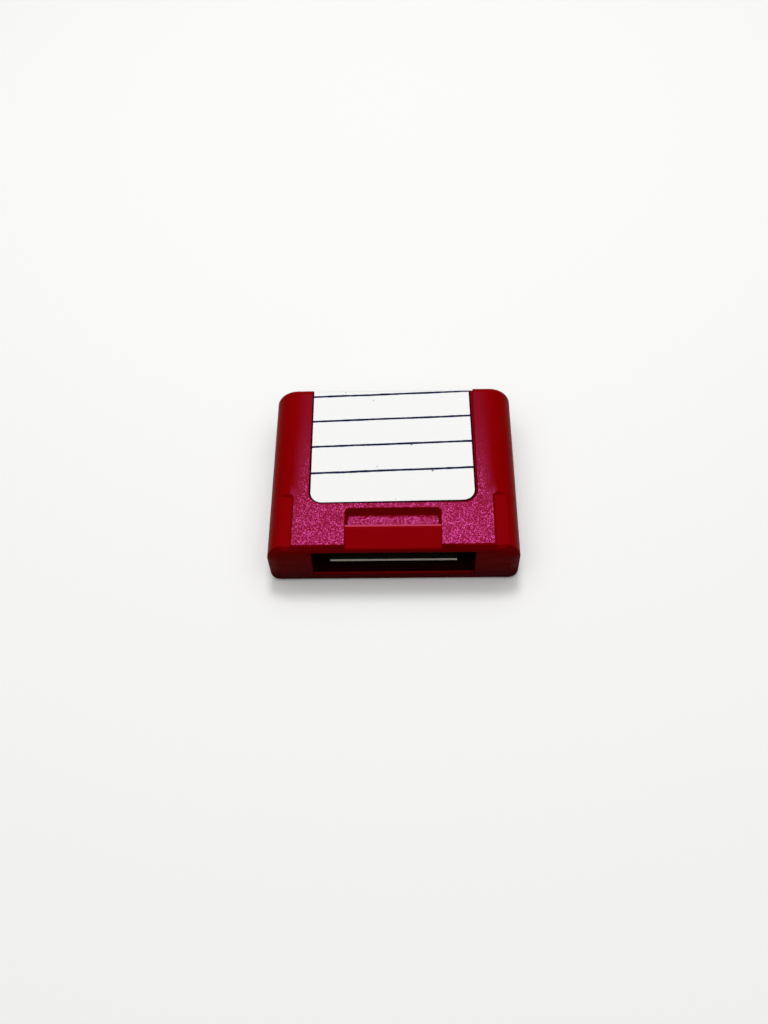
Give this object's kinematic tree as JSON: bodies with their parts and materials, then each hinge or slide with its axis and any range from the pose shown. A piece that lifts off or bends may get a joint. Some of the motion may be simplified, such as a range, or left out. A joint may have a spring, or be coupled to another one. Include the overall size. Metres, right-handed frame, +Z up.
{
  "type": "console memory card",
  "caption": "Flat moulded card with rounded sides, a paper label, a latch pocket and an open mouth whose circuit board edge plugs into a game controller to save data.",
  "frame": {"origin": "middle of the underside of the case", "axes": "+X across the card to the right seen from above with the mouth nearest, +Y from the mouth to the label end, +Z up through the label"},
  "size_m": [0.064, 0.051, 0.016],
  "materials": {
    "case_plastic": "finely textured moulding",
    "label_paper": "uncoated ruled paper",
    "board_laminate": "lacquered glass-fibre laminate",
    "contact_gold": "gold plate",
    "chip_resin": "moulded resin",
    "tinned_metal": "tinned",
    "capacitor_ceramic": "fired ceramic",
    "cell_steel": "plated sheet steel",
    "screw_steel": "zinc plated"
  },
  "bodies": {
    "root": {"top_shell": "case_plastic", "bottom_shell": "case_plastic", "label": "label_paper", "circuit_board": "board_laminate", "upper_edge_contacts": "contact_gold", "lower_edge_contacts": "contact_gold", "memory_chip": "chip_resin", "memory_chip_leads": "tinned_metal", "decoder_chip": "chip_resin", "decoder_chip_leads": "tinned_metal", "supervisor_chip": "chip_resin", "supervisor_chip_leads": "tinned_metal", "blocking_diodes": "chip_resin", "diode_leads": "tinned_metal", "chip_capacitors": "capacitor_ceramic", "capacitor_end_caps": "tinned_metal", "chip_resistors": "chip_resin", "resistor_end_caps": "tinned_metal", "coin_cell": "cell_steel", "cell_plus_tab": "cell_steel", "cell_minus_tab": "cell_steel", "case_screw": "screw_steel"}
  },
  "joints": []
}
